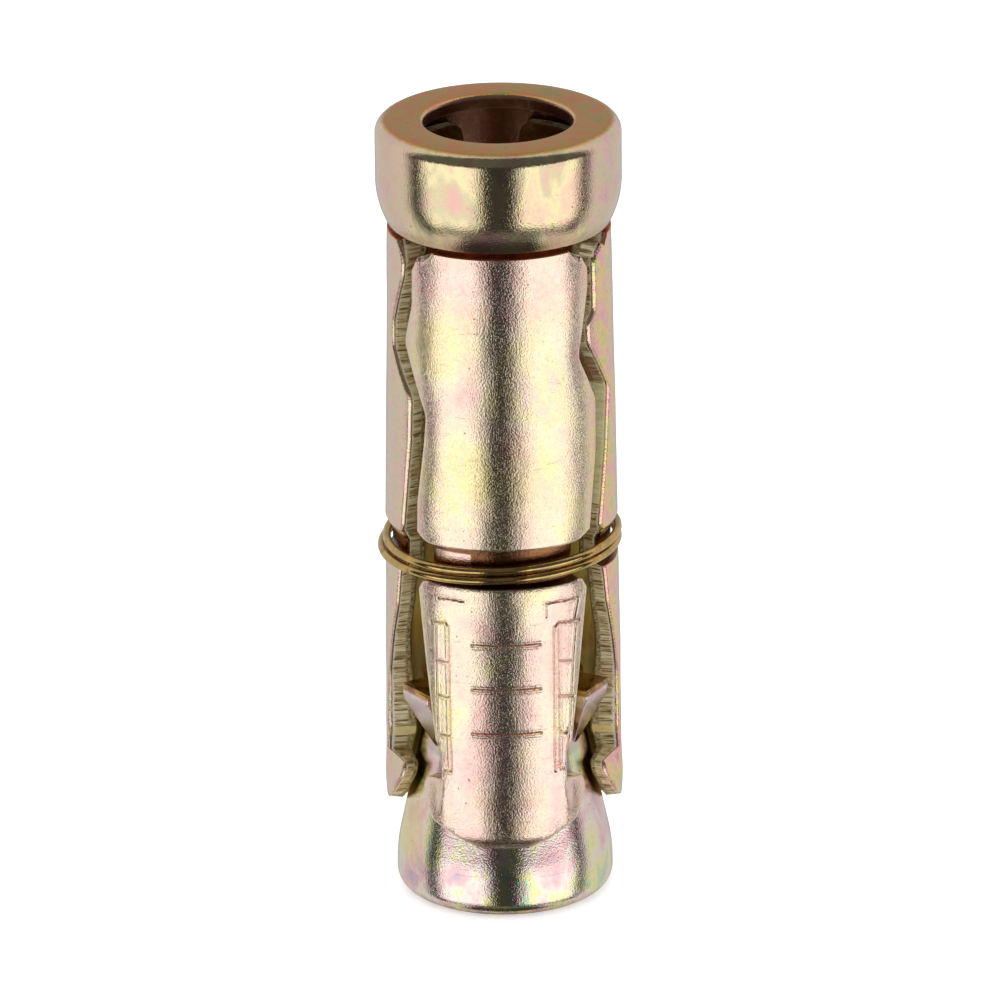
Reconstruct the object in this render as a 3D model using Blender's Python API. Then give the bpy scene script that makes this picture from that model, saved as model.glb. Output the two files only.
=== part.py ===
"""Shield anchor for an M8 bolt: a turned ferrule, three pressed segments, a wire clip and a wedge nut.

The anchor stands on the wide end of its wedge nut, with its axis on Z and its origin at the
middle of the nut's lower face. The front segment faces -Y. Angles are in degrees, measured
round the axis from -Y towards +X.
"""

from math import cos, pi, radians, sin, tan

import bmesh
import bpy
from mathutils import Vector

MM = 0.001

# Whole anchor
OVERALL_HEIGHT = 46.6 * MM
FIT = 0.3 * MM

# Ferrule: the cap that holds the segments' heads
FERRULE_DIAMETER = 14.0 * MM
FERRULE_HEIGHT = 6.0 * MM
FERRULE_WALL = 1.0 * MM
FERRULE_PLATE = 0.85 * MM
FERRULE_ROUND = 0.6 * MM
FERRULE_RIM = 2.78 * MM
BOLT_HOLE_ROUND = 0.25 * MM
LIP_INSET = 0.7 * MM
LIP_CURL = 2.6 * MM

# Segments: pressed steel shells, each curled to an arc, with a thin head on a neck
SEGMENT_WALL = 1.25 * MM
FOOT_HEIGHT = 4.55 * MM
FOOT_CHAMFER = 0.45 * MM
HEAD_WALL = 0.9 * MM
HEAD_SETBACK = 0.12 * MM
HEAD_PLAY = 0.95 * MM
HEAD_HEIGHT = 2.7 * MM
HEAD_BEND = 0.7 * MM
HEAD_ROUND = 0.9 * MM
NECK_FLARE = 2.0
NECK_BEND = 1.3 * MM
PAD_KNEE_HEIGHT = 9.6 * MM
PAD_TOP_HEIGHT = 16.0 * MM

# Outside of the wall, as (share of the way from shoulder to foot, share of the ferrule's width)
WALL_FORM = ((0.0, 0.91), (0.18, 0.913), (0.485, 0.953), (0.65, 0.959), (0.85, 0.993), (1.0, 0.986))

# Ears at the foot are bent in towards the cone
EAR_BEND = 0.42 * MM
EAR_LOW = 5.85 * MM
EAR_HIGH = 8.2 * MM
EAR_ROOT_ANGLE = 31.0
EAR_BENT_ANGLE = 37.0

# Edges of a segment's flat pattern, as (half angle, share of the way down from the shoulder to
# the groove, rounding in walls)
SHOULDER_EDGE = ((45.5, 0.043, 0.24), (47.0, 0.023, 0.24))
FRONT_BAY_EDGE = (
    (53.0, 0.075, 0.48),
    (53.0, 0.14, 1.2),
    (49.9, 0.23, 1.2),
    (44.6, 0.372, 0.8),
    (57.6, 0.535, 0.64),
    (57.0, 0.7, 1.2),
)
FRONT_STEP_EDGE = (
    (52.8, 0.08, 0.48),
    (52.8, 0.2, 1.2),
    (59.0, 0.335, 0.8),
    (42.0, 0.565, 0.8),
    (43.5, 0.665, 1.2),
    (48.2, 0.875, 1.2),
)
SIDE_BAY_EDGE = (
    (56.0, 0.075, 0.48),
    (55.5, 0.12, 0.8),
    (42.0, 0.3, 1.2),
    (42.5, 0.385, 0.8),
    (63.0, 0.52, 0.64),
    (62.3, 0.684, 1.2),
)
SIDE_STEP_EDGE = (
    (58.3, 0.06, 0.48),
    (58.3, 0.235, 0.64),
    (64.5, 0.27, 0.48),
    (64.5, 0.34, 1.2),
    (43.0, 0.525, 0.8),
    (48.2, 0.72, 1.2),
)

# The same below the groove, with the share of the way up from the foot to the groove
EAR_EDGE = (
    (48.0, 0.225, 0.32),
    (48.5, 0.185, 0.64),
    (38.5, 0.0875, 0.72),
    (25.0, 0.0406, 1.2),
    (12.0, 0.0, 1.2),
)
FRONT_FOOT_EDGE = ((36.5, 0.397, 0.24), (33.0, 0.356, 0.24), (33.0, 0.24, 0.16), *EAR_EDGE)
SIDE_FOOT_EDGE = (
    (46.5, 0.83, 1.2),
    (34.0, 0.55, 1.2),
    (33.0, 0.33, 0.2),
    (31.3, 0.294, 0.0),
    (30.0, 0.288, 0.0),
    (30.0, 0.24, 0.08),
    *EAR_EDGE,
)

# Each segment's turn round the axis and its two edges, as (half angle of the neck, edge above
# the groove, half angle at the groove, edge below the groove)
FRONT_EDGES = (
    (39.0, FRONT_BAY_EDGE, 50.5, FRONT_FOOT_EDGE),
    (39.0, FRONT_STEP_EDGE, 48.2, FRONT_FOOT_EDGE),
)
SIDE_EDGES = (
    (51.0, SIDE_BAY_EDGE, 56.5, SIDE_FOOT_EDGE),
    (41.0, SIDE_STEP_EDGE, 57.0, SIDE_FOOT_EDGE),
)
SEGMENTS = {
    "segment_front": (0.0, FRONT_EDGES),
    "segment_left": (-116.0, SIDE_EDGES),
    "segment_right": (116.0, SIDE_EDGES),
}

# Groove pressed round the segments for the clip
GROOVE_HEIGHT = 21.7 * MM
GROOVE_WIDTH = 2.3 * MM
GROOVE_DEPTH = 0.58 * MM
GROOVE_FLANK = 0.15 * MM
GROOVE_BULGE = 0.45 * MM
GROOVE_ANGLE = 41.5
GROOVE_FOOT_ANGLE = 45.0
GROOVE_SHEAR = 0.4 * MM
WAIST_ANGLE = 47.5
WAIST_DROP = 0.7 * MM
WAIST_ROUND = 0.3 * MM

# Spring clip: turns of round wire with enough slack for the segments to spread
CLIP_WIRE = 0.5 * MM
CLIP_TURNS = 1.97
CLIP_PITCH = 0.53 * MM
CLIP_SLACK = 0.45 * MM
CLIP_DROP = 0.2 * MM
CLIP_TILT = 3.1
CLIP_START = 130.0

# Wedge nut: a cone threaded for the bolt, with lugs that stand in the gaps between segments
NUT_HEIGHT = 13.2 * MM
NUT_DIAMETER = 12.48 * MM
NUT_ROUND = 0.85 * MM
NUT_NECK_DIAMETER = 9.2 * MM
CONE_START_HEIGHT = 2.4 * MM
CONE_SLOPE = 12.0
CONE_ROUND = 1.2 * MM
CONE_FOOT_ROUND = 9.6 * MM
THREAD_DIAMETER = 8.0 * MM
THREAD_PITCH = 1.25 * MM
THREAD_DEPTH = 0.5413 * THREAD_PITCH
LUG_ANGLES = (-56.0, 61.0, 182.0)
LUG_WIDTH = 2.4 * MM
LUG_POINT = 0.4 * MM
LUG_TAPER_DROP = 1.0 * MM
LUG_REACH = 6.15 * MM
LUG_TIP = 0.5 * MM
LUG_DROP = 4.0 * MM
LUG_STEP = 0.15 * MM
LUG_BEVEL = 0.12 * MM

# Facets
RING_STEPS = 72
CORNER_STEPS = 3
CURL_STEPS = 8
STRIP_ANGLE = 7.5
STRIP_HEIGHT = 3.0 * MM
WIRE_STEPS = 36

# Heights and radii that follow from the sizes above
LIP_HEIGHT = OVERALL_HEIGHT - FERRULE_HEIGHT
CAVITY_TOP = OVERALL_HEIGHT - FERRULE_PLATE
FERRULE_RADIUS = FERRULE_DIAMETER / 2
CAVITY_RADIUS = FERRULE_RADIUS - FERRULE_WALL
BOLT_HOLE_RADIUS = FERRULE_RADIUS - FERRULE_RIM
LIP_RADIUS = FERRULE_RADIUS - LIP_INSET
SHOULDER_HEIGHT = LIP_HEIGHT - FIT
SHOULDER_RADIUS = FERRULE_RADIUS * WALL_FORM[0][1]
FOOT_RADIUS = FERRULE_RADIUS * WALL_FORM[-1][1]
HEAD_TOP = CAVITY_TOP - HEAD_PLAY
HEAD_BASE = HEAD_TOP - HEAD_HEIGHT
HEAD_RADIUS = CAVITY_RADIUS - FIT
NECK_INNER = BOLT_HOLE_RADIUS + HEAD_SETBACK
NECK_RADIUS = NECK_INNER + HEAD_WALL
LIP_INNER = NECK_RADIUS + FIT
GROOVE_TOP = GROOVE_HEIGHT + GROOVE_WIDTH / 2
GROOVE_FOOT = GROOVE_HEIGHT - GROOVE_WIDTH / 2
THREAD_RADIUS = THREAD_DIAMETER / 2
THREAD_BORE = THREAD_RADIUS - THREAD_DEPTH


def outward(angle):
    """The level direction that points away from the axis."""
    return Vector((sin(radians(angle)), -cos(radians(angle)), 0.0))


def radius_at(z, stops):
    """The radius at a height, on straight lines between (height, radius) stops, highest first."""
    if z >= stops[0][0]:
        return stops[0][1]
    for (high, high_radius), (low, low_radius) in zip(stops, stops[1:]):
        if z >= low:
            return low_radius + (high_radius - low_radius) * (z - low) / (high - low)
    return stops[-1][1]


def body_radius(z):
    """Outer radius of a segment's plain wall, which swells towards the foot."""
    way = FOOT_HEIGHT - SHOULDER_HEIGHT
    stops = [(SHOULDER_HEIGHT + share * way, width * FERRULE_RADIUS) for share, width in WALL_FORM]
    return radius_at(z, stops)


def ear_bend(turn, z):
    """How far a segment's outside is pressed in, at an angle from its middle and a height."""
    if z > EAR_HIGH + FIT:
        return 0.0
    across = (abs(turn) - EAR_ROOT_ANGLE) / (EAR_BENT_ANGLE - EAR_ROOT_ANGLE)
    up = (z - EAR_LOW) / (EAR_HIGH - EAR_LOW)
    return EAR_BEND * max(0.0, min(1.0, across)) * max(0.0, min(1.0, up))


def cone_radius(z):
    """Outer radius of the nut's cone, which ends at the neck."""
    cone = NUT_DIAMETER / 2 - (z - CONE_START_HEIGHT) * tan(radians(CONE_SLOPE))
    return max(cone, NUT_NECK_DIAMETER / 2)


def material(name, color, roughness):
    mat = bpy.data.materials.new(name)
    mat.use_nodes = True
    shader = mat.node_tree.nodes["Principled BSDF"]
    shader.inputs["Base Color"].default_value = (*color, 1.0)
    shader.inputs["Roughness"].default_value = roughness
    shader.inputs["Metallic"].default_value = 1.0
    return mat


def add_object(name, data, mat):
    obj = bpy.data.objects.new(name, data)
    data.materials.append(mat)
    bpy.context.scene.collection.objects.link(obj)
    return obj


def add_mesh(name, bm, mat):
    """Turns a bmesh into an object, smooth but for its sharp edges."""
    bmesh.ops.recalc_face_normals(bm, faces=bm.faces)
    mesh = bpy.data.meshes.new(name)
    bm.to_mesh(mesh)
    bm.free()
    mesh.shade_smooth()
    mesh.set_sharp_from_angle(angle=radians(35))
    return add_object(name, mesh, mat)


def rounded(corners):
    """A closed outline of (x, y, round) corners, with each round made a short arc."""
    outline = []
    for i, (x, y, size) in enumerate(corners):
        corner = Vector((x, y))
        if not size:
            outline.append(corner)
            continue
        before = Vector(corners[i - 1][:2]) - corner
        after = Vector(corners[(i + 1) % len(corners)][:2]) - corner
        half = before.angle(after) / 2
        reach = min(size / tan(half), before.length * 0.45, after.length * 0.45)
        middle = (before.normalized() + after.normalized()).normalized()
        centre = corner + middle * reach / cos(half)
        start = corner + before.normalized() * reach - centre
        end = corner + after.normalized() * reach - centre
        for step in range(CORNER_STEPS + 1):
            share = step / CORNER_STEPS
            spoke = start.lerp(end, share).normalized() * start.length
            outline.append(centre + spoke)
    return outline


def turned(name, corners, mat):
    """A ring, made by turning a closed outline of (radius, height, round) round the axis."""
    bm = bmesh.new()
    verts = [bm.verts.new((point.x, 0.0, point.y)) for point in rounded(corners)]
    edges = [bm.edges.new((verts[i - 1], verts[i])) for i in range(len(verts))]
    bmesh.ops.spin(
        bm,
        geom=verts + edges,
        cent=(0.0, 0.0, 0.0),
        axis=(0.0, 0.0, 1.0),
        angle=2 * pi,
        steps=RING_STEPS,
        use_merge=True,
    )
    return add_mesh(name, bm, mat)


def ferrule(mat):
    """A cap with a drilled plate on top and a side wall that curls in to a lip."""
    curl_radius = (LIP_CURL**2 + LIP_INSET**2) / (2 * LIP_INSET)
    cavity_inset = CAVITY_RADIUS - LIP_INNER
    outside = []
    inside = []
    for step in range(CURL_STEPS):
        fall = LIP_CURL * step / CURL_STEPS
        share = (curl_radius - (curl_radius**2 - fall**2) ** 0.5) / LIP_INSET
        height = LIP_HEIGHT + LIP_CURL - fall
        outside.append((FERRULE_RADIUS - LIP_INSET * share, height, 0.0))
        inside.insert(0, (CAVITY_RADIUS - cavity_inset * share, height, 0.0))
    corners = [
        (BOLT_HOLE_RADIUS, OVERALL_HEIGHT, BOLT_HOLE_ROUND),
        (FERRULE_RADIUS, OVERALL_HEIGHT, FERRULE_ROUND),
        *outside,
        (LIP_RADIUS, LIP_HEIGHT, FIT / 2),
        (LIP_INNER, LIP_HEIGHT, FIT / 3),
        *inside,
        (CAVITY_RADIUS, CAVITY_TOP, FERRULE_WALL / 4),
        (BOLT_HOLE_RADIUS, CAVITY_TOP, 0.0),
    ]
    return turned("ferrule", corners, mat)


def edge_between(start, end, edge):
    """An edge's corners, placed by their share of the way from one height to another."""
    way = end - start
    return [(angle, start + share * way, walls * SEGMENT_WALL) for angle, share, walls in edge]


def segment_half(neck_angle, edge, edge_end, foot_edge):
    """Half of a segment's flat pattern, from head to foot, as (angle, height, round) corners."""
    head = [
        (neck_angle - NECK_FLARE, HEAD_TOP, HEAD_ROUND),
        (neck_angle, HEAD_BASE, 0.0),
        (neck_angle, SHOULDER_HEIGHT, 0.0),
        (neck_angle + NECK_FLARE, SHOULDER_HEIGHT - FIT, 0.0),
    ]
    groove = [
        (edge_end, GROOVE_TOP + GROOVE_SHEAR, WAIST_ROUND),
        (GROOVE_ANGLE, GROOVE_TOP - GROOVE_FLANK, 0.0),
        (GROOVE_ANGLE, GROOVE_FOOT + GROOVE_FLANK, 0.0),
        (GROOVE_FOOT_ANGLE, GROOVE_FOOT, 0.0),
        (WAIST_ANGLE, GROOVE_FOOT - WAIST_DROP, WAIST_ROUND),
    ]
    shoulder = [corner for corner in SHOULDER_EDGE if corner[0] > neck_angle + 2 * NECK_FLARE]
    upper = edge_between(SHOULDER_HEIGHT, GROOVE_TOP, (*shoulder, *edge))
    lower = edge_between(FOOT_HEIGHT, GROOVE_FOOT, foot_edge)
    return head + upper + groove + lower


def segment_pattern(edges):
    """The flat pattern: a bay in the right edge and a step in the left, above the groove."""
    right, left = (segment_half(*half) for half in edges)
    return right + [(-angle, height, size) for angle, height, size in reversed(left)]


def segment_outside():
    """Outer radius down a segment: head, neck, wall with its groove, and chamfered foot."""
    floor_top = body_radius(GROOVE_TOP) - GROOVE_DEPTH
    floor_foot = body_radius(GROOVE_FOOT) - GROOVE_DEPTH
    return [
        (HEAD_TOP, HEAD_RADIUS),
        (HEAD_BASE, HEAD_RADIUS),
        (HEAD_BASE - HEAD_BEND, NECK_RADIUS),
        (SHOULDER_HEIGHT + FIT / 8, NECK_RADIUS),
        (SHOULDER_HEIGHT, SHOULDER_RADIUS),
        (GROOVE_TOP, body_radius(GROOVE_TOP)),
        (GROOVE_TOP - GROOVE_FLANK, floor_top),
        (GROOVE_FOOT + GROOVE_FLANK, floor_foot),
        (GROOVE_FOOT, body_radius(GROOVE_FOOT)),
        (FOOT_HEIGHT + FOOT_CHAMFER, body_radius(FOOT_HEIGHT + FOOT_CHAMFER)),
        (FOOT_HEIGHT, FOOT_RADIUS - FOOT_CHAMFER / 2),
    ]


def segment_inside():
    """Inner radius down a segment: it thickens to a pad that bears on the nut's cone."""

    def wall(z):
        return z, body_radius(z) - SEGMENT_WALL

    floor = body_radius(GROOVE_HEIGHT) - SEGMENT_WALL - GROOVE_BULGE
    return [
        (HEAD_TOP, HEAD_RADIUS - HEAD_WALL),
        (HEAD_BASE, HEAD_RADIUS - HEAD_WALL),
        (HEAD_BASE - HEAD_BEND, NECK_INNER),
        (SHOULDER_HEIGHT - FIT, NECK_INNER),
        wall(SHOULDER_HEIGHT - FIT - NECK_BEND),
        wall(GROOVE_TOP + GROOVE_BULGE),
        (GROOVE_TOP - GROOVE_BULGE, floor),
        (GROOVE_FOOT + GROOVE_BULGE, floor),
        wall(GROOVE_FOOT - GROOVE_BULGE),
        wall(PAD_TOP_HEIGHT),
        (PAD_KNEE_HEIGHT, cone_radius(PAD_KNEE_HEIGHT) + FIT),
        (FOOT_HEIGHT, cone_radius(FOOT_HEIGHT) + FIT),
    ]


def segment(name, angle, edges, mat):
    """One shell: the flat pattern is cut into strips, given its wall and curled to an arc."""
    outside = segment_outside()
    inside = segment_inside()
    degree = SHOULDER_RADIUS * radians(1)
    corners = segment_pattern(edges)
    pattern = [(turn * degree, height, size) for turn, height, size in corners]
    bm = bmesh.new()
    bm.faces.new([bm.verts.new((point.x, 0.0, point.y)) for point in rounded(pattern)])

    reach = int(max(turn for turn, _, _ in corners) // STRIP_ANGLE)
    strips = range(-reach, reach + 1)
    rows = int((HEAD_TOP - FOOT_HEIGHT) // STRIP_HEIGHT)
    heights = {height for height, _ in outside + inside}
    heights.update(FOOT_HEIGHT + STRIP_HEIGHT * row for row in range(1, rows + 1))
    cuts = [((strip * STRIP_ANGLE * degree, 0.0, 0.0), (1.0, 0.0, 0.0)) for strip in strips]
    cuts += [((0.0, 0.0, height), (0.0, 0.0, 1.0)) for height in sorted(heights)]
    for place, normal in cuts:
        sheet = bm.verts[:] + bm.edges[:] + bm.faces[:]
        bmesh.ops.bisect_plane(bm, geom=sheet, dist=1e-7, plane_co=place, plane_no=normal)
    bmesh.ops.remove_doubles(bm, verts=bm.verts, dist=2e-5)
    bmesh.ops.triangulate(bm, faces=bm.faces)

    outer_side = bm.verts[:]
    extruded = bmesh.ops.extrude_face_region(bm, geom=bm.faces[:])["geom"]
    inner_side = [item for item in extruded if isinstance(item, bmesh.types.BMVert)]
    for side, stops in ((outer_side, outside), (inner_side, inside)):
        for vert in side:
            turn, height = vert.co.x / degree, vert.co.z
            radius = radius_at(height, stops)
            if side is outer_side:
                radius -= ear_bend(turn, height)
            vert.co = outward(angle + turn) * radius + Vector((0.0, 0.0, height))
    return add_mesh(name, bm, mat)


def spring_clip(mat):
    """Wire wound round the segments' groove, level but for a slight tilt."""
    groove_floor = body_radius(GROOVE_HEIGHT) - GROOVE_DEPTH
    radius = groove_floor + CLIP_SLACK + CLIP_WIRE / 2
    middle = GROOVE_HEIGHT - CLIP_DROP
    curve = bpy.data.curves.new("spring_clip", "CURVE")
    curve.dimensions = "3D"
    curve.bevel_depth = CLIP_WIRE / 2
    curve.bevel_resolution = 2
    curve.use_fill_caps = True
    spline = curve.splines.new("POLY")
    count = round(CLIP_TURNS * WIRE_STEPS)
    spline.points.add(count)
    for i, point in enumerate(spline.points):
        turn = CLIP_TURNS * (i / count - 0.5)
        place = outward(CLIP_START + 360 * turn) * radius
        height = middle - CLIP_PITCH * turn + place.x * tan(radians(CLIP_TILT))
        point.co = (place.x, place.y, height, 1.0)
    return add_object("spring_clip", curve, mat)


def nut_lugs(mat):
    """The three lugs: each slopes in and narrows below its top to a point at the nut's neck."""
    top = NUT_HEIGHT - LUG_STEP
    foot = NUT_HEIGHT - LUG_DROP
    root = (THREAD_RADIUS + NUT_NECK_DIAMETER / 2) / 2
    waist = top - LUG_TAPER_DROP
    slope = (LUG_REACH - root) / (top - LUG_TIP - foot)
    outline = [
        (root, top),
        (LUG_REACH, top),
        (LUG_REACH, top - LUG_TIP),
        (root + slope * (waist - foot), waist),
        (root, foot),
        (root, waist),
    ]
    bm = bmesh.new()
    for angle in LUG_ANGLES:
        face = bm.faces.new([bm.verts.new(outward(angle) * r + Vector((0, 0, z))) for r, z in outline])
        end = bmesh.ops.extrude_face_region(bm, geom=[face])["geom"]
        far_side = [item for item in end if isinstance(item, bmesh.types.BMVert)]
        for side, verts in ((-1, face.verts), (1, far_side)):
            for vert in verts:
                share = min(1.0, (vert.co.z - foot) / (top - LUG_TAPER_DROP - foot))
                width = LUG_POINT + (LUG_WIDTH - LUG_POINT) * share
                vert.co += outward(angle + 90) * side * width / 2
    rim = LUG_REACH - LUG_BEVEL
    outer = [e for e in bm.edges if all(v.co.xy.length > rim for v in e.verts)]
    bmesh.ops.bevel(
        bm, geom=outer, offset=LUG_BEVEL, segments=2, profile=0.5, affect="EDGES", material=-1
    )
    tool = add_mesh("lug_tool", bm, mat)
    tool.hide_render = True
    tool.display_type = "WIRE"
    return tool


def wedge_nut(mat):
    """Cone with a tapped bore, left at its minor diameter, and the lugs joined to its neck."""
    radius = NUT_DIAMETER / 2
    neck = NUT_NECK_DIAMETER / 2
    chamfer = THREAD_RADIUS - THREAD_BORE
    neck_height = CONE_START_HEIGHT + (radius - neck) / tan(radians(CONE_SLOPE))
    corners = [
        (THREAD_BORE, NUT_HEIGHT - chamfer, 0.0),
        (THREAD_RADIUS, NUT_HEIGHT, 0.0),
        (neck, NUT_HEIGHT, LUG_STEP),
        (neck, neck_height, CONE_ROUND),
        (radius, CONE_START_HEIGHT, CONE_FOOT_ROUND),
        (radius, 0.0, NUT_ROUND),
        (THREAD_RADIUS, 0.0, 0.0),
        (THREAD_BORE, chamfer, 0.0),
    ]
    nut = turned("wedge_nut", corners, mat)
    union = nut.modifiers.new("lugs", "BOOLEAN")
    union.operation = "UNION"
    union.object = nut_lugs(mat)
    return nut


for old in list(bpy.data.objects):
    bpy.data.objects.remove(old)

ferrule(material("bronze passivated zinc", (0.62, 0.50, 0.30), 0.28))
pressed_zinc = material("yellow passivated zinc", (0.80, 0.72, 0.60), 0.32)
for segment_name, (segment_angle, segment_edges) in SEGMENTS.items():
    segment(segment_name, segment_angle, segment_edges, pressed_zinc)
spring_clip(material("gold passivated wire", (0.60, 0.46, 0.24), 0.25))
wedge_nut(material("pale passivated zinc", (0.76, 0.72, 0.68), 0.30))
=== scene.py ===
# Shield anchor for an M8 bolt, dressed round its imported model.
# Sizes here are in millimetres until a mesh is finished; angles are degrees from -Y towards +X.
from math import cos, pi, radians, sin, tan

import bmesh
import bpy
from mathutils import Matrix, Vector, kdtree, noise


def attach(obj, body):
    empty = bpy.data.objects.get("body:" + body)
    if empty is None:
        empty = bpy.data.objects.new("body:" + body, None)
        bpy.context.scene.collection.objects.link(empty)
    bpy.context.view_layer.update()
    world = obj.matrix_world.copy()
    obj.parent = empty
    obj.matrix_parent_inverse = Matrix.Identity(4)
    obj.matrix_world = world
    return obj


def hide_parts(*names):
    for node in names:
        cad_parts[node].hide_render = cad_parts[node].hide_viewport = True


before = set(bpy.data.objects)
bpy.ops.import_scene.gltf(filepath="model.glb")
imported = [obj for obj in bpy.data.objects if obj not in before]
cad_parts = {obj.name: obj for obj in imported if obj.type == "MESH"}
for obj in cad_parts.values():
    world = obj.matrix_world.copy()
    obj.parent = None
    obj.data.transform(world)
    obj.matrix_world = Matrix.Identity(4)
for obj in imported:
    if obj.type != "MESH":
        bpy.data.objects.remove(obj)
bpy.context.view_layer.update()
mm = 0.001
weld = 0.0005  # points closer than this are one
sharpAngle = 32.0
print("frame loaded")

# Shader tools


def linear(red, green, blue):
    # a colour picked on screen, 0 to 255, as the shader wants it
    shares = [value / 255 for value in (red, green, blue)]
    bent = [s / 12.92 if s < 0.04 else ((s + 0.055) / 1.055) ** 2.4 for s in shares]
    return (*bent, 1.0)


class Wire:
    # a socket that can be used in sums
    def __init__(self, graph, socket):
        self.graph = graph
        self.socket = socket

    def sum(self, operation, *values):
        inputs = {i: value for i, value in enumerate(values)}
        return self.graph.node("ShaderNodeMath", {"operation": operation}, inputs)

    def __add__(self, other):
        return self.sum("ADD", self, other)

    def __radd__(self, other):
        return self.sum("ADD", other, self)

    def __sub__(self, other):
        return self.sum("SUBTRACT", self, other)

    def __rsub__(self, other):
        return self.sum("SUBTRACT", other, self)

    def __mul__(self, other):
        return self.sum("MULTIPLY", self, other)

    def __rmul__(self, other):
        return self.sum("MULTIPLY", other, self)

    def __truediv__(self, other):
        return self.sum("DIVIDE", self, other)

    def __neg__(self):
        return self.sum("MULTIPLY", self, -1.0)

    def size(self):
        return self.sum("ABSOLUTE", self)

    def ease(self, low, high, start=0.0, end=1.0):
        # smooth step from start to end as the value goes from low to high
        ends = {0: self, 1: low, 2: high, 3: start, 4: end}
        return self.graph.node("ShaderNodeMapRange", {"interpolation_type": "SMOOTHSTEP"}, ends)


class Graph:
    # the nodes of one material or world
    def __init__(self, tree):
        self.tree = tree
        tree.nodes.clear()

    def node(self, kind, settings=None, inputs=None, output=0):
        made = self.tree.nodes.new(kind)
        for key, value in (settings or {}).items():
            if key == "stops":
                self.setStops(made.color_ramp, value)
            else:
                setattr(made, key, value)
        for key, value in (inputs or {}).items():
            if isinstance(value, Wire):
                self.tree.links.new(value.socket, made.inputs[key])
            else:
                made.inputs[key].default_value = value
        return Wire(self, made.outputs[output]) if len(made.outputs) else made

    def setStops(self, ramp, stops):
        while len(ramp.elements) < len(stops):
            ramp.elements.new(0.5)
        for element, (place, color) in zip(ramp.elements, stops):
            element.position = place
            element.color = color

    def mix(self, factor, first, second, blend="MIX"):
        settings = {"data_type": "RGBA", "blend_type": blend}
        return self.node("ShaderNodeMix", settings, {0: factor, 6: first, 7: second}, 2)

    def coords(self, scale=(1000.0, 1000.0, 1000.0)):
        # place on the piece, in millimetres unless another scale is given
        place = self.node("ShaderNodeTexCoord", output=3)
        return self.node("ShaderNodeMapping", inputs={0: place, 3: scale})

    def noise(self, place, scale, detail=2.0, rough=0.5, distortion=0.0):
        inputs = {"Vector": place, "Scale": scale, "Detail": detail}
        inputs |= {"Roughness": rough, "Distortion": distortion}
        return self.node("ShaderNodeTexNoise", None, inputs)

    def split(self, place, axis):
        return self.node("ShaderNodeSeparateXYZ", inputs={0: place}, output=axis)

    def ramp(self, factor, stops):
        return self.node("ShaderNodeValToRGB", {"stops": stops}, {0: factor})


# Stage: camera, pale floor, and a white studio with dark gaps that the metal mirrors

stageSettings = {
    "target": Vector((0.0, 0.0, 0.0233)),
    "elevation": 20.75,
    "distance": 0.6,
    "lens": 376.74,
    "shift": (-0.0017, 0.0033),
    "roll": -0.57,
    "light": 0.9,  # level of all that isn't mirrored
    "paper": 0.9,
    "paperGlow": 0.5,
}
mirrorSettings = {
    "box": 1.2,  # level of the two soft boxes in front
    "boxInner": 18.0,
    "boxOuter": (75.0, 80.5),  # to the left and to the right
    "boxClimb": (-19.0, 20.0),  # middle and half height
    "boxPower": 6.0,  # how square the corners are
    "boxEdge": (0.75, 1.15),
    "frame": 0.045,  # the dark room round them
    "frameOuter": (91.5, 93.5),
    "frameLow": -45.0,
    "frameHigh": 6.0,
    "under": 0.62,
    "shelf": 0.2,  # between the frame and the dark band under it
    "bandHalf": 0.45,
    "bandTop": -54.0,
    "above": 0.1,
    "side": 0.70,
    "flank": 0.62,
    "flankSpan": (95.0, 140.0),
    "back": 0.42,
    "backSpan": (158.0, 172.0),
}


def makeCamera():
    s = stageSettings
    data = bpy.data.cameras.new("camera")
    data.lens = s["lens"]
    data.sensor_width = 36.0
    data.shift_x, data.shift_y = s["shift"]
    camera = bpy.data.objects.new("camera", data)
    bpy.context.scene.collection.objects.link(camera)
    tilt = radians(s["elevation"])
    back = Vector((0.0, -cos(tilt), sin(tilt)))
    turn = (-back).to_track_quat("-Z", "Y").to_matrix() @ Matrix.Rotation(radians(s["roll"]), 3, "Z")
    camera.matrix_world = Matrix.Translation(s["target"] + back * s["distance"]) @ turn.to_4x4()
    bpy.context.scene.camera = camera


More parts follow.
